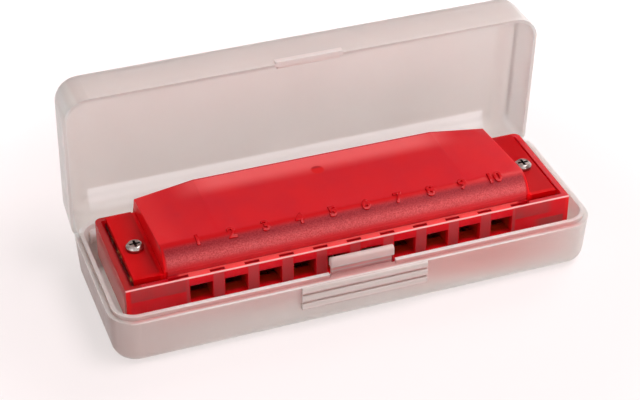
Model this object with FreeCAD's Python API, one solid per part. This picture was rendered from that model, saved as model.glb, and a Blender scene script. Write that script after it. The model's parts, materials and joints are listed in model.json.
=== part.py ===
import FreeCAD, Part

import math
import os

# Hinged plastic case with a ten hole harmonica lying in it.
# Millimetres. X runs along the case, +Y to the hinge side, +Z up.
# The origin is the middle of the tray's flat base. The lid is modelled closed, then swung open.

# Comb
hole_count = 10
hole_pitch = 7.5
hole_width = 4.9
hole_height = 4.4
comb_end = 13.5
comb_depth = 26.6
comb_height = 8.6
comb_rear_radius = 1.5
rim_side = 1.25
rim_front = 1.9
rim_front_ends = 1.35
rim_rear = 1.3
rear_outlet_gap = 0.3
recess_depth = 1.6
chamber_front_gap = 0.4
chamber_end_gap = 0.6
pocket_width = 3.2
pocket_end_width = 4.3
pocket_front = 0.55
pocket_length = 0.9
pocket_depth = 1.3

# Reed plates, clamped between comb and covers, and their spot welded reeds
plate_thickness = 1.0
plate_end_gap = 0.85
plate_front_gap = 0.2
plate_rear_gap = 0.2
slot_width = 2.2
slot_front_gap = 2.4
reed_long = 13.5
reed_short = 9.0
reed_side_gap = 0.08
reed_thickness = 0.25
reed_pad_length = 3.0
reed_pad_width = 3.2

# Covers
flange_thickness = 1.4
flange_end_gap = 1.05
flange_front_gap = 0.2
flange_rear_gap = 0.15
cover_wall = 0.9
dome_overlap = 5.0
dome_rise = 5.3
dome_front_lead = 0.1
dome_rear_gap = 0.3
dome_top_inset = 0.5
dome_shoulder = 13.6
dome_rear_end_drop = 2.0
dome_slope_depth = 3.8
dome_slope_start = 0.1
post_offset = -1.0
post_radius = 1.3
post_rear_gap = 5.9

# Cover bolts and nuts
bolt_setback = 12.5
bolt_radius = 1.0
bolt_clearance = 0.1
bolt_head_radius = 1.95
bolt_head_height = 1.3
bolt_head_edge = 0.55
bolt_cross_width = 0.55
bolt_cross_length = 2.3
bolt_cross_depth = 0.7
nut_across_flats = 4.0
nut_height = 1.6

# Case: gaps round the harmonica and the walls that hold it
end_gap = 2.4
front_gap = 3.9
rear_gap = 0.9
comb_stand = 4.2
lid_headroom = 0.8
floor_thickness = 1.1
lid_top_thickness = 1.1
corner_radius = 5.8
lip_inset = 1.0
lip_thickness = 0.85
lip_height = 1.0
tray_base_inset = 0.7
tray_edge_radius = 3.1
tray_floor_chamfer = 1.4
lid_wall = 0.85
lid_top_inset = 0.6
lid_edge_radius = 2.7
lid_inner_radius = 4.2
support_height = 0.4
support_width = 1.6
support_span = 50.0
support_setback = 2.6

# Hinge: bars on the tray, snap hooks on the lid
open_angle = 86.0
hinge_inset = 3.3
hinge_drop = 1.9
hinge_end_gap = 8.9
hinge_bar_radius = 0.8
hook_clearance = 0.05
hook_wall = 0.85
hook_width = 5.0
hook_side_gap = 0.25
hook_root = 2.0
hook_mouth = 1.3
ear_wall = 0.75
ear_width = 2.6
swing_gap = 0.35
rear_wall = 1.15

# Latch: spring tongue on the tray, catch rib and finger lip on the lid
tongue_width = 13.5
tongue_thickness = 0.9
tongue_setback = 0.9
tongue_root_gap = 0.05
bead_width = 14.1
bead_bottom = 2.2
bead_height = 2.2
bead_depth = 0.7
bead_radius = 0.75
bead_under_radius = 0.3
tongue_side_gap = 0.35
root_depth = 3.0
catch_width = 14.2
catch_lift = 0.35
catch_height = 1.4
catch_depth = 0.75
catch_radius = 0.3
finger_lip_width = 15.2
finger_lip_height = 1.3
finger_lip_depth = 0.5
finger_lip_radius = 0.2

# Thumb grip: three rounded ribs on the tray's front wall
grip_width = 28.0
grip_ribs = 3
grip_rib_height = 1.6
grip_rib_pitch = 2.05
grip_depth = 0.6
grip_root = 0.7
grip_radius = 0.35

# One overrun for every cut, and how close two places are that count as the same
overrun = 1.0
same_place = 0.001

quarter_turn = math.pi / 2
sixth_turn = math.pi / 3

# Worked out from the sizes above
holes_length = (hole_count - 1) * hole_pitch + hole_width
comb_length = holes_length + 2 * comb_end
dome_length = holes_length + 2 * dome_overlap
dome_plateau = dome_length - 2 * dome_shoulder
flange_side = comb_length / 2 - rim_side - flange_end_gap
tray_height = floor_thickness + support_height + dome_rise + comb_height - comb_stand
lid_height = comb_stand + dome_rise + lid_headroom + lid_top_thickness
inner_inset = lip_inset + lip_thickness
case_length = comb_length + 2 * (end_gap + inner_inset)
hinge_hook_radius = hinge_bar_radius + hook_clearance + hook_wall
ear_radius = hinge_bar_radius + ear_wall
front_margin = inner_inset + front_gap
rear_margin = hinge_inset + ear_radius + rear_gap
case_width = front_margin + comb_depth + rear_margin
case_front = -case_width / 2
case_rear = case_width / 2
lip_top = tray_height + lip_height
lid_top = tray_height + lid_height
hinge_y = case_rear - hinge_inset
hinge_z = tray_height - hinge_drop
hinge_x = case_length / 2 - hinge_end_gap
comb_front = case_front + front_margin
comb_rear = comb_front + comb_depth
comb_top = tray_height + comb_stand
comb_middle = comb_top - comb_height / 2
comb_bottom = comb_top - comb_height
plate_seat = comb_top - recess_depth
plate_top = plate_seat + plate_thickness
flange_top = plate_top + flange_thickness
flange_front = comb_front + rim_front + flange_front_gap
bolt_y = comb_front + bolt_setback
bolt_x = (dome_length / 2 + flange_side) / 2
bolt_places = (-bolt_x, bolt_x)
case_outline = (-case_length / 2, case_length / 2, case_front, case_rear, corner_radius)


def vector(x, y, z):
    return FreeCAD.Vector(x, y, z)


def box(x_low, x_high, y_low, y_high, z_low, z_high):
    return Part.makeBox(x_high - x_low, y_high - y_low, z_high - z_low, vector(x_low, y_low, z_low))


def rod_x(x_low, x_high, y, z, radius):
    return Part.makeCylinder(radius, x_high - x_low, vector(x_low, y, z), vector(1, 0, 0))


def rod_z(x, y, z_low, z_high, radius):
    return Part.makeCylinder(radius, z_high - z_low, vector(x, y, z_low))


def prism_x(profile, x_low, x_high):
    """A closed outline of (y, z) points, extruded along X."""
    points = [vector(x_low, y, z) for y, z in profile]
    face = Part.Face(Part.makePolygon(points + points[:1]))
    return face.extrude(vector(x_high - x_low, 0, 0))


def prism_z(profile, z_low, z_high):
    """A closed outline of (x, y) points, extruded along Z."""
    points = [vector(x, y, z_low) for x, y in profile]
    face = Part.Face(Part.makePolygon(points + points[:1]))
    return face.extrude(vector(0, 0, z_high - z_low))


def rounded_wire(outline, inset, z):
    """A rounded rectangle, its outline moved inwards by the inset."""
    x_low, x_high, y_low, y_high, radius = outline
    x_low, x_high = x_low + inset, x_high - inset
    y_low, y_high = y_low + inset, y_high - inset
    radius = radius - inset
    centres = ((x_high - radius, y_low + radius), (x_high - radius, y_high - radius),
               (x_low + radius, y_high - radius), (x_low + radius, y_low + radius))
    arcs = []
    for quarter, (x, y) in enumerate(centres):
        places = []
        for turns in (quarter - 1, quarter - 1 / 2, quarter):
            angle = turns * quarter_turn
            places.append(vector(x + radius * math.cos(angle), y + radius * math.sin(angle), z))
        arcs.append(Part.Arc(*places).toShape())
    edges = []
    for number, arc in enumerate(arcs):
        following = arcs[(number + 1) % len(arcs)]
        edges.append(arc)
        edges.append(Part.makeLine(arc.lastVertex().Point, following.firstVertex().Point))
    return Part.Wire(edges)


def tapered_block(outline, z_low, z_high, inset_low, inset_high):
    wires = [rounded_wire(outline, inset_low, z_low), rounded_wire(outline, inset_high, z_high)]
    return Part.makeLoft(wires, True, True)


def level_edges(solid, z):
    """The edges that lie in the level plane at z."""
    return [e for e in solid.Edges if abs(e.BoundBox.ZMin - z) < same_place
            and abs(e.BoundBox.ZMax - z) < same_place]


def upright_edges(solid, y):
    """The edges that stand straight up at the given y."""
    return [e for e in solid.Edges if e.BoundBox.XLength < same_place
            and abs(e.BoundBox.YMin - y) < same_place and abs(e.BoundBox.YMax - y) < same_place]


def edges_along_x(solid, length):
    """The straight edges that run along X for the given length."""
    return [e for e in solid.Edges if abs(e.BoundBox.XLength - length) < same_place
            and e.BoundBox.YLength < same_place and e.BoundBox.ZLength < same_place]


def edge_at(edges, y, z):
    """The edge whose middle lies nearest to the given y and z."""
    return min(edges, key=lambda e: (e.BoundBox.Center.y - y) ** 2 + (e.BoundBox.Center.z - z) ** 2)


def fuse(parts):
    whole = parts[0].fuse(parts[1:]) if len(parts) > 1 else parts[0]
    return whole.removeSplitter()


def swing(y, z, angle):
    """Where a point of the closed lid goes when the lid is opened by the angle."""
    turn = math.radians(angle)
    out, up = y - hinge_y, z - hinge_z
    return (hinge_y + out * math.cos(turn) + up * math.sin(turn),
            hinge_z - out * math.sin(turn) + up * math.cos(turn))


def tangent_point(y, z, radius, side):
    """Where a line from the point (y, z) touches a circle round the hinge axis."""
    out, up = y - hinge_y, z - hinge_z
    angle = math.atan2(up, out) + side * math.acos(radius / math.hypot(out, up))
    return hinge_y + radius * math.cos(angle), hinge_z + radius * math.sin(angle)


# The open lid's rim sets how deep and how low the tray's hinge recess goes
rim_inner_open = swing(case_rear - lid_wall, tray_height, open_angle)
rim_outer_open = swing(case_rear, tray_height, open_angle)
recess_face = min(rim_inner_open[0], rim_outer_open[0]) - swing_gap
recess_ledge = min(rim_inner_open[1], rim_outer_open[1]) - swing_gap
recess_inset = case_rear - recess_face
recess_start = hinge_y - swing_gap
inner_outline = (-case_length / 2 + inner_inset, case_length / 2 - inner_inset,
                 case_front + inner_inset, recess_face - rear_wall, corner_radius - inner_inset)
inner_rear = inner_outline[3]


def tray_shell():
    outer = tapered_block(case_outline, 0, tray_height, tray_base_inset, 0)
    outer = outer.makeFillet(tray_edge_radius, level_edges(outer, 0))
    lip = tapered_block(case_outline, tray_height - lip_height, lip_top, lip_inset, lip_inset)
    cavity = tapered_block(inner_outline, floor_thickness, lip_top + overrun, 0, 0)
    cavity = cavity.makeChamfer(tray_floor_chamfer, level_edges(cavity, floor_thickness))
    recess_outline = (-case_length / 2 + recess_inset, case_length / 2 - recess_inset, case_front,
                      recess_face, corner_radius - recess_inset)
    kept = tapered_block(recess_outline, recess_ledge - overrun, lip_top + 2 * overrun, 0, 0)
    recess = box(-case_length, case_length, recess_start, case_rear + overrun, recess_ledge,
                 lip_top + overrun)
    return fuse([outer, lip]).cut(recess.cut(kept)).cut(cavity)


def hinge_ear(side):
    """The block behind the rear wall that carries one hinge bar."""
    half = hook_width / 2 + hook_side_gap + ear_width
    middle = side * hinge_x
    arm = box(middle - half, middle + half, hinge_y, inner_rear + rear_wall / 2,
              hinge_z - ear_radius, hinge_z + ear_radius)
    nose = rod_x(middle - half, middle + half, hinge_y, hinge_z, ear_radius)
    return fuse([arm, nose])


def hook_slot(side):
    """The slot through ear, wall and lip in which the lid's hook turns."""
    half = hook_width / 2 + hook_side_gap
    middle = side * hinge_x
    way_out = box(middle - half, middle + half, hinge_y, case_rear + overrun, recess_ledge, lip_top + overrun)
    round_bar = rod_x(middle - half, middle + half, hinge_y, hinge_z, hinge_hook_radius + hook_side_gap)
    return fuse([way_out, round_bar])


def hinge_bar(side):
    half = hook_width / 2 + hook_side_gap + ear_width / 2
    return rod_x(side * hinge_x - half, side * hinge_x + half, hinge_y, hinge_z, hinge_bar_radius)


def grip_rib(number):
    top = tray_height - number * grip_rib_pitch
    rib = box(-grip_width / 2, grip_width / 2, case_front - grip_depth, case_front + grip_root,
              top - grip_rib_height, top)
    front = [e for e in edges_along_x(rib, grip_width) if e.BoundBox.YMax < case_front]
    return rib.makeFillet(grip_radius, front)


def tongue_root():
    """The thickening of the front wall that the tongue springs from."""
    inner = case_front + lip_inset + tongue_setback + tongue_thickness
    wall = case_front + lip_inset
    depth = tray_height - root_depth
    half = tongue_width / 2
    profile = ((wall, tray_height), (inner, tray_height), (inner, depth), (wall, depth - (inner - wall)))
    return prism_x(profile, -half, half)


def support_rib(side):
    middle = side * support_span / 2
    return box(middle - support_width / 2, middle + support_width / 2, comb_front + support_setback,
               comb_rear - support_setback, floor_thickness / 2, floor_thickness + support_height)


def case_tray():
    shell = tray_shell()
    lip_gap_half = bead_width / 2 + tongue_side_gap
    lip_gap = box(-lip_gap_half, lip_gap_half, case_front, case_front + front_margin, tray_height,
                  lip_top + overrun)
    parts = [shell.cut(lip_gap)]
    parts += [hinge_ear(side) for side in (-1, 1)]
    parts += [grip_rib(number) for number in range(grip_ribs)]
    parts += [support_rib(side) for side in (-1, 1)]
    parts.append(tongue_root())
    body = fuse(parts)
    body = body.cut([hook_slot(side) for side in (-1, 1)])
    return fuse([body] + [hinge_bar(side) for side in (-1, 1)])


def latch_tongue():
    """A thin web with a rounded foot that rocks on the tray and a bead along its top."""
    outer = case_front + lip_inset + tongue_setback
    inner = outer + tongue_thickness
    foot_radius = tongue_thickness / 2
    foot = tray_height + tongue_root_gap + foot_radius
    bead_low = tray_height + bead_bottom
    bead_high = bead_low + bead_height
    web = box(-tongue_width / 2, tongue_width / 2, outer, inner, foot, bead_low + foot_radius)
    rocker = rod_x(-tongue_width / 2, tongue_width / 2, (outer + inner) / 2, foot, foot_radius)
    bead = box(-bead_width / 2, bead_width / 2, outer - bead_depth, inner, bead_low, bead_high)
    long_edges = edges_along_x(bead, bead_width)
    top = [edge_at(long_edges, outer - bead_depth, bead_high), edge_at(long_edges, inner, bead_high)]
    bead = bead.makeFillet(bead_radius, top)
    under = edge_at(edges_along_x(bead, bead_width), outer - bead_depth, bead_low)
    bead = bead.makeFillet(bead_under_radius, [under])
    return fuse([web, rocker, bead])


def lid_shell():
    outer = tapered_block(case_outline, tray_height, lid_top, 0, lid_top_inset)
    outer = outer.makeFillet(lid_edge_radius, level_edges(outer, lid_top))
    ceiling = lid_top - lid_top_thickness
    cavity = tapered_block(case_outline, tray_height, ceiling, lid_wall, lid_wall + lid_top_inset)
    cavity = cavity.makeFillet(lid_inner_radius, level_edges(cavity, ceiling))
    return outer.cut(cavity)


def catch_rib():
    """The rib inside the lid's front rim that snaps under the tongue's bead."""
    face = case_front + lid_wall
    low = tray_height + catch_lift
    rib = box(-catch_width / 2, catch_width / 2, face - lid_wall / 2, face + catch_depth, low,
              low + catch_height)
    inner = [e for e in edges_along_x(rib, catch_width) if e.BoundBox.YMin > face]
    return rib.makeFillet(catch_radius, inner)


def finger_lip():
    """The small lip outside the lid's front rim that a fingertip lifts."""
    lip = box(-finger_lip_width / 2, finger_lip_width / 2, case_front - finger_lip_depth,
              case_front + lid_wall / 2, tray_height, tray_height + finger_lip_height)
    outer = [e for e in edges_along_x(lip, finger_lip_width) if e.BoundBox.YMax < case_front]
    return lip.makeFillet(finger_lip_radius, outer)


def snap_hook(side):
    """An arm from the lid's rear rim that ends in a split eye round the hinge bar."""
    low = side * hinge_x - hook_width / 2
    high = side * hinge_x + hook_width / 2
    root_low = (case_rear, tray_height)
    root_high = (case_rear - lid_wall / 2, tray_height + hook_root)
    lower = tangent_point(*root_low, hinge_hook_radius, -1)
    upper = tangent_point(*root_high, hinge_hook_radius, 1)
    arm = prism_x((root_low, root_high, upper, (hinge_y, hinge_z), lower), low, high)
    eye = rod_x(low, high, hinge_y, hinge_z, hinge_hook_radius)
    hook = fuse([arm, eye])
    bore = rod_x(low - overrun, high + overrun, hinge_y, hinge_z, hinge_bar_radius + hook_clearance)
    mouth = box(low - overrun, high + overrun, hinge_y - hinge_hook_radius - overrun, hinge_y,
                hinge_z - hook_mouth / 2, hinge_z + hook_mouth / 2)
    mouth.rotate(vector(0, hinge_y, hinge_z), vector(1, 0, 0), open_angle / 2)
    return hook.cut([bore, mouth])


def case_lid():
    parts = [lid_shell(), catch_rib(), finger_lip(), snap_hook(-1), snap_hook(1)]
    lid = fuse(parts)
    lid.rotate(vector(0, hinge_y, hinge_z), vector(1, 0, 0), -open_angle)
    return lid


def hole_x(number):
    """The middle of a mouth hole, counted from 0 at the low end."""
    return (number - (hole_count - 1) / 2) * hole_pitch


def graded(number, first, last):
    """A length that goes evenly from the first hole's value to the last one's."""
    return first + (last - first) * number / (hole_count - 1)


def pad_start(number):
    """Where the reed's slot ends and its pad begins."""
    return slot_front() + graded(number, reed_long, reed_short)


def chamber(number):
    """A mouth hole through the rim, opening into a taller chamber under the reeds."""
    low = hole_x(number) - hole_width / 2
    high = hole_x(number) + hole_width / 2
    end = pad_start(number) + reed_pad_length + chamber_end_gap
    seat_low = 2 * comb_middle - plate_seat
    mouth = box(low, high, comb_front - overrun, slot_front(), comb_middle - hole_height / 2,
                comb_middle + hole_height / 2)
    hall = box(low, high, slot_front() - chamber_front_gap, end, seat_low, plate_seat)
    return fuse([mouth, hall])


def pockets():
    """Blind pockets in the rim's top over the walls between the holes, and one past each end hole."""
    y_low = comb_front + pocket_front
    z_low = comb_top - pocket_depth
    cuts = []
    for number in range(hole_count - 1):
        middle = hole_x(number) + hole_pitch / 2
        cuts.append(box(middle - pocket_width / 2, middle + pocket_width / 2, y_low, y_low + pocket_length,
                        z_low, comb_top + overrun))
    for side in (-1, 1):
        ends = sorted((side * (pocket_end_x() - pocket_end_width), side * pocket_end_x()))
        cuts.append(box(*ends, y_low, y_low + pocket_length, z_low, comb_top + overrun))
    return cuts


def pocket_end_x():
    """How far from the middle the last pockets reach."""
    return hole_x(hole_count - 1) + hole_width / 2 + pocket_end_width


def plate_recess():
    """The sunk seat of the plate and cover: a thinner front rim at the ends, open behind the dome."""
    side = comb_length / 2 - rim_side
    front = comb_front + rim_front
    rear = comb_rear - rim_rear
    outlet = dome_length / 2 + rear_outlet_gap
    seat = box(-side, side, front, rear, plate_seat, comb_top + overrun)
    ends = [box(*sorted((end * pocket_end_x(), end * side)), comb_front + rim_front_ends, front + overrun,
                plate_seat, comb_top + overrun) for end in (-1, 1)]
    way_out = box(-outlet, outlet, rear - overrun, comb_rear + overrun, plate_seat, comb_top + overrun)
    return fuse([seat, way_out] + ends)


def comb():
    block = box(-comb_length / 2, comb_length / 2, comb_front, comb_rear, comb_bottom, comb_top)
    block = block.makeFillet(comb_rear_radius, upright_edges(block, comb_rear))
    upper_cuts = [plate_recess()] + pockets()
    cuts = upper_cuts + [lower(cut) for cut in upper_cuts]
    cuts += [chamber(number) for number in range(hole_count)]
    return block.cut(cuts + bolt_holes())


def bolt_holes():
    return [rod_z(x, bolt_y, comb_bottom, comb_top + flange_thickness, bolt_radius + bolt_clearance)
            for x in bolt_places]


def slot_front():
    return comb_front + rim_front + slot_front_gap


def reed_plate():
    """The upper plate; the lower one is its mirror image."""
    side = comb_length / 2 - rim_side - plate_end_gap
    plate = box(-side, side, comb_front + rim_front + plate_front_gap, comb_rear - rim_rear - plate_rear_gap,
                plate_seat, plate_top)
    cuts = []
    for number in range(hole_count):
        middle = hole_x(number)
        cuts.append(box(middle - slot_width / 2, middle + slot_width / 2, slot_front(), pad_start(number),
                        plate_seat - overrun, plate_top + overrun))
    return plate.cut(cuts + bolt_holes())


def reed(number, z_low):
    """A flat reed: a narrow free end over the slot and a wider pad welded to the plate."""
    middle = hole_x(number)
    front = slot_front()
    back = pad_start(number)
    end = back + reed_pad_length
    narrow = slot_width / 2 - reed_side_gap
    wide = reed_pad_width / 2
    profile = ((middle - narrow, front + reed_side_gap), (middle + narrow, front + reed_side_gap),
               (middle + narrow, back), (middle + wide, back), (middle + wide, end),
               (middle - wide, end), (middle - wide, back), (middle - narrow, back))
    return prism_z(profile, z_low, z_low + reed_thickness)


def dome_section(y, end_drop, shrink):
    """The dome's outline across the harmonica: upright ends, sloped shoulders, level middle."""
    half = dome_length / 2 - shrink
    top = comb_top + dome_rise - shrink
    plateau = dome_plateau / 2
    floor = plate_top - shrink
    points = [(-half, floor), (half, floor), (half - dome_top_inset, top - end_drop), (plateau, top),
              (-plateau, top), (-half + dome_top_inset, top - end_drop)]
    places = [vector(x, y, z) for x, z in points]
    return Part.makePolygon(places + places[:1])


def dome_block(shrink):
    """The dome as a solid: tapering shoulders cut by the curved front slope."""
    front = flange_front - dome_front_lead + shrink
    rear = comb_rear - dome_rear_gap
    middle = front + dome_slope_depth
    sections = [dome_section(front - overrun, 0, shrink), dome_section(middle, 0, shrink),
                dome_section(rear + shrink, dome_rear_end_drop, shrink)]
    body = Part.makeLoft(sections, True, True)
    top = comb_top + dome_rise - shrink
    floor = plate_top - shrink
    knee = comb_top + dome_slope_start
    reach = dome_slope_depth - shrink
    rise = top - knee
    curve_middle = vector(0, front + reach * (1 - math.sqrt(1 / 2)), knee + rise * math.sqrt(1 / 2))
    arc = Part.Arc(vector(0, front, knee), curve_middle, vector(0, front + reach, top))
    corners = [(front + reach, top), (rear + 2 * overrun, top), (rear + 2 * overrun, floor), (front, floor),
               (front, knee)]
    edges = [arc.toShape()]
    for start, end in zip(corners, corners[1:]):
        edges.append(Part.makeLine(vector(0, *start), vector(0, *end)))
    face = Part.Face(Part.Wire(edges))
    slope = face.extrude(vector(dome_length, 0, 0))
    slope.translate(vector(-dome_length / 2, 0, 0))
    return body.common(slope)


def upper_cover():
    flange = box(-flange_side, flange_side, flange_front, comb_rear - rim_rear - flange_rear_gap,
                 plate_top, flange_top)
    outer = dome_block(0)
    inner = dome_block(cover_wall)
    post_y = comb_rear - post_rear_gap
    post = rod_z(post_offset, post_y, plate_top, comb_top + dome_rise - cover_wall / 2, post_radius)
    shell = fuse([flange, outer]).cut([inner] + bolt_holes())
    return fuse([shell, post])


def cover_bolts():
    """Pan heads with a cross recess, shanks through both covers to the nuts."""
    end = 2 * comb_middle - flange_top - nut_height
    bolts = []
    for x in bolt_places:
        head = rod_z(x, bolt_y, flange_top, flange_top + bolt_head_height, bolt_head_radius)
        head = head.makeChamfer(bolt_head_edge, level_edges(head, flange_top + bolt_head_height))
        low = flange_top + bolt_head_height - bolt_cross_depth
        high = flange_top + bolt_head_height + overrun
        long, wide = bolt_cross_length / 2, bolt_cross_width / 2
        cross = [box(x - long, x + long, bolt_y - wide, bolt_y + wide, low, high),
                 box(x - wide, x + wide, bolt_y - long, bolt_y + long, low, high)]
        shank = rod_z(x, bolt_y, end, flange_top, bolt_radius)
        bolts.append(fuse([head, shank]).cut(cross))
    return Part.makeCompound(bolts)


def cover_nuts():
    seat = 2 * comb_middle - flange_top
    radius = nut_across_flats / 2 / math.cos(sixth_turn / 2)
    nuts = []
    for x in bolt_places:
        corners = [(x + radius * math.sin(turn * sixth_turn), bolt_y + radius * math.cos(turn * sixth_turn))
                   for turn in range(6)]
        nut = prism_z(corners, seat - nut_height, seat)
        bore = rod_z(x, bolt_y, seat - nut_height - overrun, seat + overrun, bolt_radius)
        nuts.append(nut.cut(bore))
    return Part.makeCompound(nuts)


def lower(shape):
    """The same piece on the harmonica's underside."""
    return shape.mirror(vector(0, 0, comb_middle), vector(0, 0, 1))


def build():
    lower_plate_bottom = 2 * comb_middle - plate_top
    blow_reed_low = plate_seat - reed_thickness
    draw_reed_low = lower_plate_bottom - reed_thickness
    plate = reed_plate()
    cover = upper_cover()
    nodes = {
        "case_tray": case_tray(),
        "latch_tongue": latch_tongue(),
        "case_lid": case_lid(),
        "comb": comb(),
        "upper_reed_plate": plate,
        "lower_reed_plate": lower(plate),
        "upper_cover": cover,
        "lower_cover": lower(cover),
        "cover_bolts": cover_bolts(),
        "cover_nuts": cover_nuts(),
    }
    for number in range(hole_count):
        nodes["blow_reed_%d" % (number + 1)] = reed(number, blow_reed_low)
        nodes["draw_reed_%d" % (number + 1)] = reed(number, draw_reed_low)
    return nodes


os.makedirs("parts", exist_ok=True)
for name, shape in build().items():
    box_now = shape.BoundBox
    print(name, "solids", len(shape.Solids), "valid", shape.isValid(), "volume", round(shape.Volume, 2),
          "x", round(box_now.XMin, 2), round(box_now.XMax, 2), "y", round(box_now.YMin, 2),
          round(box_now.YMax, 2), "z", round(box_now.ZMin, 2), round(box_now.ZMax, 2))
    shape.exportStep("parts/%s.step" % name)
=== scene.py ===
import json
import math

import bmesh
import bpy
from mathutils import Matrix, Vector


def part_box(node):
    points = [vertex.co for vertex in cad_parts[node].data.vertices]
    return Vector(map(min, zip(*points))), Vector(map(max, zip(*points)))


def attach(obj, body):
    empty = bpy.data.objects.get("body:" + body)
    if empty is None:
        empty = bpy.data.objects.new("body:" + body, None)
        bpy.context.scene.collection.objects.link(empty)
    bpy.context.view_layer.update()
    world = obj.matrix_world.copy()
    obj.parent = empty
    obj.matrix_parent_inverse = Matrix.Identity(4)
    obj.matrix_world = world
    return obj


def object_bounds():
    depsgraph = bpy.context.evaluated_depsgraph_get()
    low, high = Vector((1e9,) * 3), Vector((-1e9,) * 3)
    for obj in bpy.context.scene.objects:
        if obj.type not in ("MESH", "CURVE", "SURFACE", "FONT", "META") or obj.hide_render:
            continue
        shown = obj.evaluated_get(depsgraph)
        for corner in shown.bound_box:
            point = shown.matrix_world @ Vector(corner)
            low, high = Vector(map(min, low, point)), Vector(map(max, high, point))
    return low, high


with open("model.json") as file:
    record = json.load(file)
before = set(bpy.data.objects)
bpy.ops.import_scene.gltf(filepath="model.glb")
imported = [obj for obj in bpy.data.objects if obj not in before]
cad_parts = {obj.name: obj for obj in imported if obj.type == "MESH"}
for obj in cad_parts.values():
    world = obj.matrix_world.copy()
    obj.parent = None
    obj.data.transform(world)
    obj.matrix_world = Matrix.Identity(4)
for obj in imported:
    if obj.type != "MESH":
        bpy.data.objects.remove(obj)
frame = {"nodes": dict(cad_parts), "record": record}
cad_low, cad_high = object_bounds()

# Hinged plastic case with a ten hole harmonica in it. Metres, in the frame's own axes:
# X runs along the case, +Y to the hinge, +Z up.
mm = 0.001

# Camera: where it looks, from how far, from which side and how high
camera_aim = Vector((-3.1, 0.0, 18.1)) * mm
camera_distance = 387.4 * mm
camera_azimuth = math.radians(-19.87)
camera_elevation = math.radians(35.31)
camera_lens = 101.8
camera_sensor = 36.0
camera_near = 0.01
camera_far = 10.0

# Lamps: place and watts. All are discs of one width that shine on the model's middle.
lamp_width = 0.5
lamps = {
    "key": ((0.30, -0.15, 0.78), 4.1),
    "fill": ((0.30, -0.70, 0.32), 1.4),
    "side": ((-0.60, -0.35, 0.45), 0.35),
    "back": ((0.72, 0.42, 0.5), 3.2),
}
backdrop_tone = (1.0, 1.0, 1.0)
ambient_tone = (1.0, 0.98, 0.97)
ambient_strength = 0.38

# Floor: the tone that lights the other pieces, then what the camera sees: the tone that takes shadows, and
# a glow that grows between two distances from the middle; dimmer near the middle, it paints a warm shadow
# there
floor_half_width = 3.0
floor_bounce = (0.88, 0.87, 0.86)
floor_shadow = (0.36, 0.30, 0.31)
floor_glow_painted_shade = (0.63, 0.605, 0.595)
floor_glow_far = (0.87, 0.86, 0.86)
floor_painted_shade_reach = (0.065, 0.135)

# Softened edges of the moulded pieces and of the bolts
softened_edges = {
    "case_tray": 0.18 * mm,
    "case_lid": 0.18 * mm,
    "latch_tongue": 0.18 * mm,
    "comb": 0.22 * mm,
    "upper_cover": 0.30 * mm,
    "lower_cover": 0.30 * mm,
    "cover_bolts": 0.12 * mm,
}
edge_segments = 2
sharp_angle = math.radians(35)
flat_angle = math.radians(0.5)
weld_distance = 0.001 * mm

# The harmonica, from its CAD nodes: the comb, the cover over it and the bolts
comb_low, comb_high = [Vector(corner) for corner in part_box("comb")]
comb_front, comb_end, comb_top = comb_low.y, comb_high.x, comb_high.z
comb_middle = (comb_low.z + comb_high.z) / 2
comb_half_height = (comb_high.z - comb_low.z) / 2
cover_low, cover_high = [Vector(corner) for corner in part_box("upper_cover")]
cover_half_height = cover_high.z - comb_middle
bolt_head_radius = 1.95 * mm
bolts_low, bolts_high = [Vector(corner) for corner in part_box("cover_bolts")]
bolt_axis = (bolts_high.x - bolt_head_radius, (bolts_low.y + bolts_high.y) / 2)
bolt_top = bolts_high.z
hole_pitch = 7.5 * mm
hole_count = 10

# The cover: its front slope's foot and crest in (y, z), the grained field on the slope, the level
# plateau behind it and the round post that stands under the plateau
slope_foot = (-11.3 * mm, 15.5 * mm)
slope_crest = (-7.5 * mm, 20.7 * mm)
grain_half_length = 40.3 * mm
plateau_half_length = 27.6 * mm
post_axis = (-1.0 * mm, 7.4 * mm)
post_radius = 1.3 * mm

# Raised numerals over the mouth holes. They start down the slope, that far from the crest, and their row
# is shifted to the right.
numeral_size = 3.6 * mm
numeral_depth = 0.22 * mm
numeral_round = 0.06 * mm
numeral_round_steps = 2
numeral_bold = 0.09 * mm
numeral_sink = 0.04 * mm
numeral_start = -1.75 * mm
numeral_strips = 0.2 * mm
numeral_pitch = 7.4 * mm
numeral_shift = 0.5 * mm
numeral_crease = math.radians(50)

# The case. Everything behind rear_part belongs to the lid or the hinge, what is ahead of it to the
# tray or the latch. The open lid stops by lid_lean short of upright. The painted shade of the thumb
# grip's grooves begins and is full at those shares of the ribs' pitch.
rear_part = 13.5 * mm
lid_lean = math.radians(4)
thumb_rib_top = 11.2 * mm
thumb_rib_pitch = 2.05 * mm
thumb_shade_band = (0.35, 0.7)

# The case's pieces: name of the plastic, the two tones that clouds mix, how much light goes through
case_pieces = {
    "case_tray": ("tray_plastic", ((0.86, 0.785, 0.755), (0.90, 0.83, 0.80)), 0.54),
    "case_lid": ("lid_plastic", ((0.87, 0.815, 0.785), (0.91, 0.855, 0.825)), 0.64),
    # The latch's pinker tones are painted red light from the comb behind its thin tongue
    "latch_tongue": ("latch_plastic", ((0.93, 0.70, 0.665), (0.96, 0.75, 0.715)), 0.84),
}

# The case: how much less light goes through dense plastic, how dense the thumb grip counts, and how much
# more light goes through the lid's strip
dense_loss = 0.3
grip_density = 1.2
strip_gain = 0.22

# The case: how far the lower border of the warm painted red light rises to the left, and the sums of a
# normal's X and Y at which a face begins to look to the left and the front, and does so fully
warm_tilt = 0.05
facing_out = (-0.1, -0.5)

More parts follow.
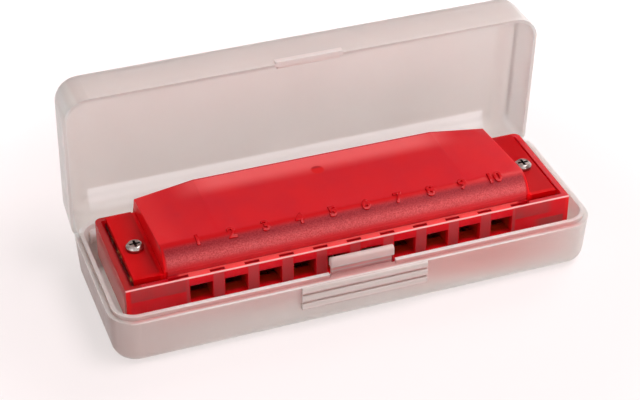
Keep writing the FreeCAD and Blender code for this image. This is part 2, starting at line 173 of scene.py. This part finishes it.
# Tones laid over the case's plastic in this order, each where the mask of its name is
case_tones = {
    # Painted red light from the comb, seen through the tray and its lip
    "warm": (0.91, 0.69, 0.665),
    "warmest": (0.93, 0.56, 0.53),
    "lip": (0.98, 0.53, 0.515),
    "left": (0.63, 0.49, 0.47),
    "left_face": (0.48, 0.345, 0.325),
    # Painted light on the open lid's rim, painted shade at its top end, a painted highlight on the catch rib
    "lid_rim": (0.92, 0.84, 0.81),
    "lid_top": (0.80, 0.70, 0.675),
    "catch": (1.0, 0.86, 0.835),
    "corner": (1.0, 0.96, 0.94),
    # Painted highlights along the case's edges
    "edge": (0.94, 0.83, 0.805),
    # The thumb grip's grooves and ribs, as shaded and lit copies of the plastic
    "groove_shade": (0.66, 0.51, 0.495),
    "rib": (0.69, 0.585, 0.56),
}

# The comb: the reds that clouds mix, the tones laid over them in this order, then the share of light that
# goes through and how solid its front face and its glowing places are
comb_reds = ((0.97, 0.014, 0.030), (0.88, 0.008, 0.018))
comb_tones = {
    # Painted pale sheen on the front face, over the walls between the holes and the solid ends
    "wall": (0.68, 0.062, 0.072),
    "end_painted_sheen": (0.54, 0.056, 0.062),
    "low_painted_sheen": (0.56, 0.056, 0.060),
    "end_face": (1.0, 0.36, 0.34),
    "rim": (1.0, 0.085, 0.085),
    "end_rim": (0.56, 0.001, 0.003),
    "glow": (1.0, 0.012, 0.018),
    "deep": (0.90, 0.060, 0.012),
    # Painted highlight along the comb's front edges
    "edge": (1.0, 0.52, 0.52),
}
comb_clear = 0.4
front_solid = 0.5
glow_solid = 0.6

# The covers: the reds that clouds mix, the tones laid over them in this order, then flange, with painted
# shade and a painted light border, dome's ends in painted light and the two speckled tones of the slope's
# frosted field, in the light and in the shade, with a painted glow at its foot
cover_reds = ((0.61, 0.012, 0.022), (0.68, 0.012, 0.018))
cover_tones = {
    # Painted light: the cover's left end is a brighter red
    "left_end_light": (0.74, 0.020, 0.026),
    "rear": (0.86, 0.115, 0.12),
    "post": (0.70, 0.010, 0.012),
    "post_shadow": (0.42, 0.012, 0.020),
    "rear_line": (0.52, 0.020, 0.032),
    # Painted shade along the bend over the slope
    "bend": (0.60, 0.004, 0.008),
}
flange_tone = (0.48, 0.001, 0.004)
flange_lit_border_tone = (0.64, 0.001, 0.003)
# Painted light on the dome's end walls
dome_end_light_tone = (0.90, 0.004, 0.008)
frost_light = ((0.58, 0.058, 0.064), (0.83, 0.15, 0.156))
frost_shade = ((0.28, 0.014, 0.022), (0.45, 0.034, 0.042))
# Painted glow along the foot of the slope
frost_foot_glow = (0.70, 0.032, 0.040)
cover_roughness = 0.36
flange_gloss = 0.22
frost_roughness = 0.12
plateau_grain = 0.12
numeral_shaded_reds = ((0.56, 0.003, 0.007), (0.47, 0.002, 0.006))

# Metals: the darker and the brighter tone, the steel's partly painted reflection, then painted shade on them
brass_tones = ((0.42, 0.25, 0.09), (0.62, 0.42, 0.17))
# Painted shade on the plates' ends
brass_groove_shade = (0.09, 0.012, 0.008)
# The steel's pink and brown tints are a painted reflection of the red and pink plastic round it
steel_tones = ((0.16, 0.10, 0.09), (0.58, 0.50, 0.48))
steel_recess_shade = (0.05, 0.015, 0.015)


def span(*lengths, start=0.0):
    """Lengths in millimetres, counted from a start in metres, as metres."""
    return tuple(start + length * mm for length in lengths)


class Look:
    """A Principled material, and the nodes that its values are made of."""

    def __init__(self, name):
        self.material = bpy.data.materials.new(name)
        self.material.use_nodes = True
        self.tree = self.material.node_tree
        self.shader = self.tree.nodes["Principled BSDF"]

    def node(self, kind):
        """A new shader node of the kind."""
        return self.tree.nodes.new("ShaderNode" + kind)

    def put(self, socket, value):
        """Sets a socket to a number, a vector or a colour, or links another node's output to it."""
        if isinstance(value, bpy.types.NodeSocket):
            self.tree.links.new(value, socket)
        elif socket.type == "RGBA":
            socket.default_value = (*value, 1.0)
        else:
            socket.default_value = value

    def finished(self, values):
        """The material, with the values on its shader's own sockets."""
        for name, value in values.items():
            self.put(self.shader.inputs[name], value)
        return self.material

    def coordinates(self, kind="Object"):
        """X, Y and Z of a point on its own piece, in metres, the same at every pose; or of its normal."""
        split = self.node("SeparateXYZ")
        self.put(split.inputs["Vector"], self.node("TexCoord").outputs[kind])
        return split.outputs["X"], split.outputs["Y"], split.outputs["Z"]

    def maths(self, operation, *values):
        node = self.node("Math")
        node.operation = operation
        for position, value in enumerate(values):
            self.put(node.inputs[position], value)
        return node.outputs["Value"]

    def product(self, *values):
        whole = values[0]
        for value in values[1:]:
            whole = self.maths("MULTIPLY", whole, value)
        return whole

    def highest(self, *values):
        whole = values[0]
        for value in values[1:]:
            whole = self.maths("MAXIMUM", whole, value)
        return whole

    def off_axis(self, x, y, axis):
        """How far a point is from an upright axis."""
        side = self.maths("SUBTRACT", x, axis[0])
        ahead = self.maths("SUBTRACT", y, axis[1])
        squares = [self.maths("MULTIPLY", part, part) for part in (side, ahead)]
        return self.maths("SQRT", self.maths("ADD", *squares))

    def spread(self, value, low, high, low_in=0.3, high_in=0.7):
        """The value between low_in and high_in, spread evenly over low to high."""
        node = self.node("MapRange")
        node.inputs["From Min"].default_value = low_in
        node.inputs["From Max"].default_value = high_in
        node.inputs["To Min"].default_value = low
        node.inputs["To Max"].default_value = high
        self.put(node.inputs["Value"], value)
        return node.outputs["Result"]

    def step(self, value, start, end):
        """Rises smoothly from 0 at the start to 1 at the end, which may be the lower one."""
        node = self.node("MapRange")
        node.interpolation_type = "SMOOTHSTEP"
        node.inputs["From Min"].default_value = start
        node.inputs["From Max"].default_value = end
        self.put(node.inputs["Value"], value)
        return node.outputs["Result"]

    def mask(self, *terms):
        """The product of masks. A term is a mask, or a value with its span. Over a span of two numbers a
        mask rises from 0 to 1. Over one of four it rises between the first two and falls after the third."""
        factors = []
        for term in terms:
            if not isinstance(term, tuple):
                factors.append(term)
                continue
            value, ends = term
            factors.append(self.step(value, ends[0], ends[1]))
            if len(ends) == 4:
                factors.append(self.step(value, ends[3], ends[2]))
        return self.product(*factors)

    def opposite(self, mask):
        return self.maths("SUBTRACT", 1.0, mask)

    def noise(self, cycles_per_mm, detail=2.0, roughness=0.5, stretch=(1.0, 1.0, 1.0)):
        """Noise with so many cycles per millimetre, on the piece's own coordinates."""
        mapping = self.node("Mapping")
        mapping.inputs["Scale"].default_value = [part * cycles_per_mm / mm for part in stretch]
        self.put(mapping.inputs["Vector"], self.node("TexCoord").outputs["Object"])
        texture = self.node("TexNoise")
        texture.inputs["Scale"].default_value = 1.0
        texture.inputs["Detail"].default_value = detail
        texture.inputs["Roughness"].default_value = roughness
        self.put(texture.inputs["Vector"], mapping.outputs["Vector"])
        return texture.outputs["Fac"]

    def blend(self, factor, first, second):
        """The first colour where the factor is 0, the second where it is 1."""
        mix = self.node("Mix")
        mix.data_type = "RGBA"
        self.put(mix.inputs["A"], first)
        self.put(mix.inputs["B"], second)
        self.put(mix.inputs["Factor"], factor)
        return mix.outputs["Result"]

    def cloud(self, cycles_per_mm, tones, detail=2.0):
        """Two tones that soft noise mixes."""
        return self.blend(self.spread(self.noise(cycles_per_mm, detail), 0.0, 1.0), *tones)

    def paint(self, ground, masks, tones):
        """Lays each tone over the ground where the mask of its name is, in the order of the tones."""
        for name, tone in tones.items():
            ground = self.blend(masks[name], ground, tone)
        return ground

    def bump(self, height, depth, below=None):
        """A bump of the given depth in metres; another bump may lie below it."""
        node = self.node("Bump")
        node.inputs["Distance"].default_value = depth
        self.put(node.inputs["Height"], height)
        if below is not None:
            self.put(node.inputs["Normal"], below)
        return node.outputs["Normal"]


def case_masks(look):
    """Where the tones of tray, lid and latch go."""
    x, y, z = look.coordinates()
    along = look.maths("ABSOLUTE", x)
    ahead = look.mask((y, span(0.0, -0.5, start=rear_part)))
    in_rear = (y, span(0.0, 0.5, start=rear_part))
    masks = {}
    # Painted red light: the red comb shows through the tray's upper half and its lip, from lower down at the
    # right
    reach = look.maths("ADD", z, look.product(x, warm_tilt))
    masks["warm"] = look.mask(ahead, (along, span(54.0, 42.0)), (reach, span(3.0, 9.5)))
    masks["warmest"] = look.mask(masks["warm"], (x, span(0.0, 26.0, 28.0, 48.0)))
    masks["lip"] = look.mask(ahead, (along, span(52.0, 48.0)), (z, span(11.0, 11.15, 13.1, 13.3)))
    # The left end, in the shade, is darker on its outside
    normal_x, normal_y = look.coordinates("Normal")[:2]
    outside = look.mask(ahead, (look.maths("ADD", normal_x, normal_y), facing_out))
    masks["left"] = look.mask(outside, (x, span(-14.0, -60.0)))
    masks["left_face"] = look.mask(outside, (x, span(-52.6, -53.6)))
    # The open lid's rim is thicker, so less light goes through it, and it is painted whiter as light, less so
    # towards its top end; the catch rib carries a painted highlight, and the lid's top end painted shade.
    # back is how far back a point lies, square to the leaning lid.
    back = look.maths("ADD", look.maths("MULTIPLY", y, math.cos(lid_lean)),
                      look.maths("MULTIPLY", z, math.sin(lid_lean)))
    fading_up = look.spread(z, 1.0, 0.4, *span(39.0, 42.5))
    masks["lid_rim"] = look.mask(in_rear, (back, span(21.5, 19.0)), fading_up)
    masks["lid_top"] = look.mask((z, span(43.4, 43.8)))
    masks["catch"] = look.mask((along, span(7.9, 7.5)), (z, span(41.5, 42.3)), (back, span(19.9, 19.5)))
    # Light comes through the strip along the lid's hinge wall, and gathers in the lid's side corners
    masks["strip"] = look.mask((y, span(17.0, 19.0)), (z, span(8.2, 9.4, 12.9, 13.6)),
                               (along, span(48.0, 47.3)))
    side_corner = look.mask((along, span(51.8, 52.7, 53.1, 53.5)), in_rear)
    masks["corner"] = look.highest(masks["strip"], side_corner)
    # Edges painted lighter as highlights, which also let less light through, least so at the ends: the lip's
    # top, the rim of the tray's shoulder and the bead's lower edge
    lip_top = look.mask(ahead, (z, span(11.95, 12.1, 12.3, 12.5)))
    rim = look.highest(look.mask((along, span(53.5, 53.7))), look.mask((y, span(-18.55, -18.75))))
    shoulder = look.mask(ahead, rim, (z, span(10.85, 11.0)))
    under_bead = look.mask((y, span(-17.5, -17.6)), (z, span(13.3, 13.4, 13.85, 14.0)))
    fading_out = look.spread(along, 1.0, 0.3, *span(38.0, 52.0))
    masks["edge"] = look.product(look.highest(lip_top, shoulder, under_bead), fading_out)
    # Thumb grip: ribs and the grooves between and under them, painted as lit and shaded copies of the
    # plastic, the grooves in a warm painted shade
    masks["grip"] = look.mask((y, span(-19.1, -19.2)), (along, span(14.3, 14.0)), (z, span(4.6, 5.4)))
    ribs_down = look.maths("DIVIDE", look.maths("SUBTRACT", thumb_rib_top, z), thumb_rib_pitch)
    groove_shade = look.step(look.maths("FRACT", ribs_down), *thumb_shade_band)
    masks["groove_shade"] = look.product(masks["grip"], groove_shade)
    masks["rib"] = look.product(masks["grip"], look.opposite(groove_shade))
    masks["bead"] = look.mask(ahead, (z, span(13.2, 13.4)))
    return masks


def case_plastic(name, tones, clear):
    """Milky polypropylene: light soaks through the thin walls, with a soft satin skin."""
    look = Look(name)
    masks = case_masks(look)
    # Less light goes straight through where the plastic is thick or shaded, more along the strip
    dense = look.highest(masks["edge"], masks["bead"], masks["lid_rim"],
                         look.product(masks["grip"], grip_density), masks["left"])
    through = look.maths("SUBTRACT", clear, look.product(dense, dense_loss))
    through = look.maths("ADD", through, look.product(masks["strip"], strip_gain))
    wave = look.bump(look.noise(0.12), 0.05 * mm)
    return look.finished({
        "Base Color": look.paint(look.cloud(0.05, tones, detail=3.0), masks, case_tones),
        "Roughness": look.spread(look.noise(0.4), 0.28, 0.38),
        "IOR": 1.45,
        "Specular IOR Level": 0.4,
        "Subsurface Weight": 0.6,
        "Subsurface Radius": (1.0, 0.9, 0.85),
        "Subsurface Scale": 2.0 * mm,
        "Transmission Weight": through,
        "Normal": look.bump(look.noise(6.0), 0.002 * mm, below=wave),
    })


def harmonica_places(look):
    """X, Y and Z, how far a point is from the middle along X, and above or below the comb's middle."""
    x, y, z = look.coordinates()
    off_middle = look.maths("SUBTRACT", z, comb_middle)
    return x, y, z, look.maths("ABSOLUTE", x), look.maths("ABSOLUTE", off_middle)


def comb_masks(look):
    """Where the comb's tones go."""
    x, y, z, along, height = harmonica_places(look)
    masks = {}
    # Front face: painted pale sheen over the walls between the holes and over the solid ends, clear red round
    # each hole
    at_front = masks["at_front"] = look.mask((y, span(0.2, 0.1, start=comb_front)))
    from_wall = look.maths("PINGPONG", x, hole_pitch / 2)
    ends = look.mask((along, span(-13.0, -12.4, start=comb_end)))
    between_holes = look.product(look.mask((from_wall, span(1.35, 0.95))), look.opposite(ends))
    masks["wall"] = look.product(at_front, between_holes)
    sheen_cloud = look.spread(look.noise(0.25, detail=1.0), 0.7, 1.0)
    masks["end_painted_sheen"] = look.mask(at_front, ends, sheen_cloud, (z, span(-3.6, -3.0, start=comb_top)),
                                  (along, span(-0.7, -1.3, start=comb_end)),
                                  (x, span(-3.5, -5.5, start=comb_end)))
    masks["low_painted_sheen"] = look.mask(at_front, (x, span(-9.0, -6.0, start=comb_end)),
                                  (along, span(-0.9, -1.3, start=comb_end)),
                                  (z, span(-4.3, -4.7, start=comb_top)))
    # The ends let the pale tray shine through
    masks["end_face"] = look.mask((along, span(-0.25, -0.1, start=comb_end)),
                                  (y, span(1.2, 2.4, start=comb_front)),
                                  (z, span(-0.4, -5.0, start=comb_top)))
    # Top of the front rim: lit from the holes below, and dark at the left end
    on_top = look.mask((height, span(-0.3, -0.1, start=comb_half_height)))
    masks["rim"] = look.mask(on_top, (y, span(2.2, 1.8, start=comb_front)),
                             (along, span(-11.0, -12.0, start=comb_end)))
    masks["end_rim"] = look.mask(on_top, (x, span(4.0, 3.0, start=comb_low.x)))
    # Light gathers in the corners, at the mouth of each hole and, darker, deep inside it
    corner = look.mask(at_front, (along, span(-1.1, -0.6, start=comb_end)))
    in_hole = (height, span(2.5, 2.25))
    hole_row = (along, span(-12.0, -13.0, start=comb_end))
    mouth = look.mask((y, span(0.1, 0.3, 0.7, 1.6, start=comb_front)), in_hole, hole_row)
    masks["glow"] = look.highest(corner, mouth)
    masks["deep"] = look.mask(hole_row, (y, span(1.0, 2.2, 8.0, 12.0, start=comb_front)), in_hole)
    # The polished front edges of top and bottom, painted light as highlights
    masks["edge"] = look.mask((y, span(0.32, 0.16, start=comb_front)),
                              (height, span(-0.32, -0.16, start=comb_half_height)))
    return masks


def comb_plastic():
    """Clear red polystyrene with a moulded gloss; its edges and front rim carry the light."""
    look = Look("comb_plastic")
    masks = comb_masks(look)
    shining = look.highest(look.product(masks["glow"], glow_solid), masks["end_face"])
    solid = look.highest(masks["edge"], masks["rim"], look.product(masks["at_front"], front_solid), shining)
    return look.finished({
        "Base Color": look.paint(look.cloud(0.2, comb_reds), masks, comb_tones),
        "Roughness": look.spread(look.noise(0.8), 0.05, 0.12),
        "IOR": 1.5,
        "Specular IOR Level": 0.25,
        "Subsurface Weight": 0.6,
        "Subsurface Radius": (1.0, 0.1, 0.1),
        "Subsurface Scale": 2.5 * mm,
        "Transmission Weight": look.product(look.opposite(solid), comb_clear),
        "Normal": look.bump(look.noise(0.25), 0.01 * mm),
    })


def cover_plastic():
    """Red translucent plastic: frosted and grained on the front slope, satin on top, glossy on the flange."""
    look = Look("cover_plastic")
    x, y, z, along, height = harmonica_places(look)

    def down(first, second):
        """A term that rises between two depths below the top, in millimetres."""
        return height, span(-first, -second, start=cover_half_height)

    masks = {}
    # Painted light: the cover's left end is a brighter red
    masks["left_end_light"] = look.mask((x, span(-34.0, -40.0)))
    # Light from the open back brightens the rear of the plateau, except where the post stands and along
    # the rear edge
    masks["rear"] = look.mask((y, span(5.6, 10.4)), (along, span(7.0, -5.0, start=plateau_half_length)),
                              down(2.8, 0.6))
    off_post = look.off_axis(x, y, post_axis)
    masks["post"] = look.mask((off_post, span(0.4, -0.2, start=post_radius)), down(0.6, 0.3))
    behind_post = look.maths("SUBTRACT", y, post_axis[1])
    masks["post_shadow"] = look.mask(masks["post"], (behind_post, span(0.3, 1.1)))
    masks["rear_line"] = look.mask((y, span(12.5, 12.7)), down(1.2, 0.6))
    # The bend over the slope is smooth, and painted a deeper, more saturated red as shade
    masks["bend"] = look.mask((y, span(-6.6, -7.6)), down(2.4, 1.2))
    smooth = look.paint(look.cloud(0.1, cover_reds), masks, cover_tones)
    # Flange: deep red over the plate, partly painted shade, with a brighter border of painted light along its
    # left end and front
    border = look.highest(look.mask((x, span(5.5, 0.8, start=-cover_high.x))),
                          look.mask((y, span(1.3, 0.8, start=cover_low.y))))
    flange = look.mask(down(3.9, 4.4))
    smooth = look.blend(flange, smooth, look.blend(border, flange_tone, flange_lit_border_tone))
    # Painted light: the dome's end walls are a brighter red
    lit_dome_end = look.mask((along, span(0.1, 0.5, start=grain_half_length)), down(0.4, 1.4),
                         (along, span(42.0, 41.4)))
    smooth = look.blend(lit_dome_end, smooth, dome_end_light_tone)
    # The slope's frosted field stops short of the dome's ends
    field = look.mask((y, span(-7.9, -9.2)), (along, span(0.1, -0.2, start=grain_half_length)))
    speckle = look.spread(look.noise(3.2, detail=3.0, roughness=0.7), 0.0, 1.0, low_in=0.38, high_in=0.66)
    frost = look.blend(look.mask(down(2.4, 0.6)), look.blend(speckle, *frost_light),
                       look.blend(speckle, *frost_shade))
    # Painted light: a brighter red glows along the foot of the slope
    frost = look.blend(look.mask(down(2.6, 4.0)), frost, frost_foot_glow)
    rough = look.maths("SUBTRACT", cover_roughness, look.product(flange, flange_gloss))
    grain = look.product(speckle, look.maths("ADD", plateau_grain, field))
    return look.finished({
        "Base Color": look.blend(field, smooth, frost),
        "Roughness": look.maths("ADD", rough, look.product(field, frost_roughness)),
        "IOR": 1.45,
        "Specular IOR Level": 0.06,
        "Subsurface Weight": 0.3,
        "Subsurface Radius": (1.0, 0.1, 0.1),
        "Subsurface Scale": 1.5 * mm,
        "Transmission Weight": 0.12,
        "Normal": look.bump(grain, 0.03 * mm),
    })


def numeral_plastic():
    """The cover's red plastic, polished on the raised numerals, in a darker red that is painted shade."""
    look = Look("numeral_plastic")
    return look.finished({
        "Base Color": look.cloud(1.2, numeral_shaded_reds),
        "Roughness": look.spread(look.noise(2.0), 0.10, 0.18),
        "IOR": 1.45,
        "Specular IOR Level": 0.12,
    })


def brass():
    """Rolled brass sheet with faint rolling lines along X, and painted shade at its ends, where they lie in
    the dark gap beside the cover's flange, broken by specks of bright brass.
    """
    look = Look("brass")
    along = look.maths("ABSOLUTE", look.coordinates()[0])
    streaks = look.noise(1.5, stretch=(0.05, 1.0, 1.0))
    sheet = look.blend(look.spread(streaks, 0.0, 1.0), *brass_tones)
    specks = look.spread(look.noise(0.6, detail=3.0), 1.0, 0.0, low_in=0.56, high_in=0.64)
    # Painted shade at the plate's ends, with specks of bright brass left in it
    plate_end_shade = look.mask((along, span(46.9, 47.3)), specks)
    return look.finished({
        "Base Color": look.blend(plate_end_shade, sheet, brass_groove_shade),
        "Roughness": look.spread(streaks, 0.22, 0.38),
        "Metallic": 1.0,
    })


def bright_steel():
    """Nickel plated steel, bright and lightly worn, with painted reflections in its tones; the cross recess
    in a bolt's head is painted dark as shade.
    """
    look = Look("bright_steel")
    # Light wear in the roughness, and painted reflections in the colour
    wear_and_reflection = look.noise(0.9, detail=4.0)
    x, y, z = look.coordinates()
    off_axis = look.off_axis(look.maths("ABSOLUTE", x), y, bolt_axis)
    # Painted shade in the cross recess
    recess = look.mask((off_axis, span(1.35, 1.15)), (z, span(-0.08, -0.25, start=bolt_top)))
    return look.finished({
        "Base Color": look.blend(recess, look.blend(look.spread(wear_and_reflection, 0.0, 1.0), *steel_tones), steel_recess_shade),
        "Roughness": look.spread(wear_and_reflection, 0.12, 0.26),
        "Metallic": 1.0,
    })


def dress_frame():
    """Gives every CAD node its material: the case's pieces their own, the others that of their slot."""
    slots = {"comb_plastic": comb_plastic(), "cover_plastic": cover_plastic(), "brass": brass(),
             "bright_steel": bright_steel()}
    case = {node: case_plastic(*plastic) for node, plastic in case_pieces.items()}
    for part in frame["record"]["subparts"]:
        node = part["node"]
        made = case[node] if node in case else slots[part["material_slot"]]
        for place in frame["nodes"][node].material_slots:
            place.material = made


def soften(name, width):
    """Rounds a CAD node's sharp edges by the width, as a moulded edge is."""
    piece = frame["nodes"][name]
    weld = piece.modifiers.new("weld", "WELD")
    weld.merge_threshold = weld_distance
    flat = piece.modifiers.new("flat", "DECIMATE")
    flat.decimate_type = "DISSOLVE"
    flat.angle_limit = flat_angle
    edge = piece.modifiers.new("edge", "BEVEL")
    edge.width = width
    edge.segments = edge_segments
    edge.limit_method = "ANGLE"
    edge.angle_limit = sharp_angle
    edge.harden_normals = True


def seen_directly(tree):
    """1 for what the camera sees, also in a reflection or through clear plastic."""
    path = tree.nodes.new("ShaderNodeLightPath")
    seen = path.outputs["Is Camera Ray"]
    for ray in ("Is Glossy Ray", "Is Transmission Ray"):
        either = tree.nodes.new("ShaderNodeMath")
        either.operation = "MAXIMUM"
        tree.links.new(seen, either.inputs[0])
        tree.links.new(path.outputs[ray], either.inputs[1])
        seen = either.outputs["Value"]
    return seen


def floor_material():
    """Matt, with a glow for the camera alone, so that it is seen as white with a soft warm shadow, part of it
    painted: the glow is dimmer near the middle.
    """
    look = Look("floor")
    seen = seen_directly(look.tree)
    away = look.node("VectorMath")
    away.operation = "LENGTH"
    look.put(away.inputs[0], look.node("TexCoord").outputs["Object"])
    # Painted shadow: the glow's tone is dimmer near the middle
    distance = look.step(away.outputs["Value"], *floor_painted_shade_reach)
    glow = look.node("Emission")
    look.put(glow.inputs["Color"], look.blend(distance, floor_glow_painted_shade, floor_glow_far))
    look.put(glow.inputs["Strength"], seen)
    both = look.node("AddShader")
    look.put(both.inputs[0], look.shader.outputs["BSDF"])
    look.put(both.inputs[1], glow.outputs["Emission"])
    look.put(look.tree.nodes["Material Output"].inputs["Surface"], both.outputs["Shader"])
    return look.finished({
        "Base Color": look.blend(seen, floor_bounce, floor_shadow),
        "Roughness": 0.9,
        "Specular IOR Level": 0.0,
    })


def make_floor():
    mesh = bpy.data.meshes.new("floor")
    signs = ((-1, -1), (1, -1), (1, 1), (-1, 1))
    corners = [(x * floor_half_width, y * floor_half_width, 0) for x, y in signs]
    mesh.from_pydata(corners, [], [(0, 1, 2, 3)])
    mesh.materials.append(floor_material())
    floor = bpy.data.objects.new("floor", mesh)
    bpy.context.scene.collection.objects.link(floor)


def make_world():
    """White where it is seen, also in gloss and through clear plastic; a soft ambient light to the rest."""
    world = bpy.data.worlds.new("studio")
    world.use_nodes = True
    tree = world.node_tree
    shown = tree.nodes["Background"]
    shown.inputs["Color"].default_value = (*backdrop_tone, 1.0)
    ambient = tree.nodes.new("ShaderNodeBackground")
    ambient.inputs["Color"].default_value = (*ambient_tone, 1.0)
    ambient.inputs["Strength"].default_value = ambient_strength
    mix = tree.nodes.new("ShaderNodeMixShader")
    tree.links.new(seen_directly(tree), mix.inputs["Fac"])
    tree.links.new(ambient.outputs["Background"], mix.inputs[1])
    tree.links.new(shown.outputs["Background"], mix.inputs[2])
    tree.links.new(mix.outputs["Shader"], tree.nodes["World Output"].inputs["Surface"])
    bpy.context.scene.world = world


def make_lights():
    aim = (cad_low + cad_high) / 2
    for name, (place, watts) in lamps.items():
        lamp = bpy.data.lights.new(name, "AREA")
        lamp.shape = "DISK"
        lamp.size = lamp_width
        lamp.energy = watts
        holder = bpy.data.objects.new(name, lamp)
        holder.location = place
        holder.rotation_euler = (aim - Vector(place)).to_track_quat("-Z", "Y").to_euler()
        bpy.context.scene.collection.objects.link(holder)


def make_camera():
    lens = bpy.data.cameras.new("camera")
    lens.lens = camera_lens
    lens.sensor_width = camera_sensor
    lens.clip_start = camera_near
    lens.clip_end = camera_far
    camera = bpy.data.objects.new("camera", lens)
    level = math.cos(camera_elevation)
    back = Vector((math.sin(camera_azimuth) * level, -math.cos(camera_azimuth) * level,
                   math.sin(camera_elevation)))
    camera.location = camera_aim + back * camera_distance
    camera.rotation_euler = (-back).to_track_quat("-Z", "Y").to_euler()
    bpy.context.scene.collection.objects.link(camera)
    bpy.context.scene.camera = camera


def slope_arc():
    """The cover's front slope in section: centre in (y, z), radius, and the angle of its crest. The arc
    goes through foot and crest, and through the point between them where a quarter ellipse would be."""
    (y1, z1), (y3, z3) = slope_foot, slope_crest
    diagonal = math.sqrt(1 / 2)
    y2, z2 = y1 + (y3 - y1) * (1 - diagonal), z1 + (z3 - z1) * diagonal
    turn = 2 * (y1 * (z2 - z3) + y2 * (z3 - z1) + y3 * (z1 - z2))
    one, two, three = y1 ** 2 + z1 ** 2, y2 ** 2 + z2 ** 2, y3 ** 2 + z3 ** 2
    y = (one * (z2 - z3) + two * (z3 - z1) + three * (z1 - z2)) / turn
    z = (one * (y3 - y2) + two * (y1 - y3) + three * (y2 - y1)) / turn
    return y, z, math.hypot(y1 - y, z1 - z), math.atan2(z3 - z, y3 - y)


def on_cover(distance, lift):
    """A point in (y, z) over the cover: behind the crest on the level top, before it down the slope."""
    if distance >= 0:
        return slope_crest[0] + distance, slope_crest[1] + lift
    y, z, radius, crest = slope_arc()
    angle = crest - distance / radius
    return y + (radius + lift) * math.cos(angle), z + (radius + lift) * math.sin(angle)


def numeral(text, middle):
    """One raised numeral that follows the cover from the slope over the crest."""
    letters = bpy.data.curves.new("numeral", "FONT")
    letters.body = text
    letters.size = numeral_size
    letters.align_x = "CENTER"
    letters.extrude = numeral_depth / 2
    letters.bevel_depth = numeral_round
    letters.bevel_resolution = numeral_round_steps
    letters.offset = numeral_bold
    holder = bpy.data.objects.new("numeral", letters)
    bpy.context.scene.collection.objects.link(holder)
    bpy.context.view_layer.update()
    flat = bpy.data.meshes.new_from_object(holder.evaluated_get(bpy.context.evaluated_depsgraph_get()))
    bpy.data.objects.remove(holder)
    work = bmesh.new()
    work.from_mesh(flat)
    bmesh.ops.remove_doubles(work, verts=work.verts, dist=weld_distance)
    # Cut into strips, so that the flat letter can bend
    for strip in range(1, round(numeral_size / numeral_strips)):
        bmesh.ops.bisect_plane(work, geom=work.verts[:] + work.edges[:] + work.faces[:],
                               plane_co=(0, strip * numeral_strips, 0), plane_no=(0, 1, 0))
    lowest = min(vertex.co.z for vertex in work.verts)
    for vertex in work.verts:
        y, z = on_cover(numeral_start + vertex.co.y, vertex.co.z - lowest - numeral_sink)
        vertex.co = Vector((middle + vertex.co.x, y, z))
    for face in work.faces:
        face.smooth = True
    return work


def make_numerals(made):
    """The numerals 1 to 10, one over each mouth hole, as one moulded piece."""
    whole = bmesh.new()
    for number in range(hole_count):
        middle = (number - (hole_count - 1) / 2) * numeral_pitch + numeral_shift
        one = numeral(str(number + 1), middle)
        bent = bpy.data.meshes.new("numeral")
        one.to_mesh(bent)
        one.free()
        whole.from_mesh(bent)
    mesh = bpy.data.meshes.new("hole_numerals")
    whole.to_mesh(mesh)
    whole.free()
    mesh.set_sharp_from_angle(angle=numeral_crease)
    mesh.materials.append(made)
    piece = bpy.data.objects.new("hole_numerals", mesh)
    bpy.context.scene.collection.objects.link(piece)
    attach(piece, "harmonica")


dress_frame()
for name, width in softened_edges.items():
    soften(name, width)
make_numerals(numeral_plastic())
make_world()
make_floor()
make_lights()
make_camera()
bpy.context.scene.view_settings.view_transform = "Standard"
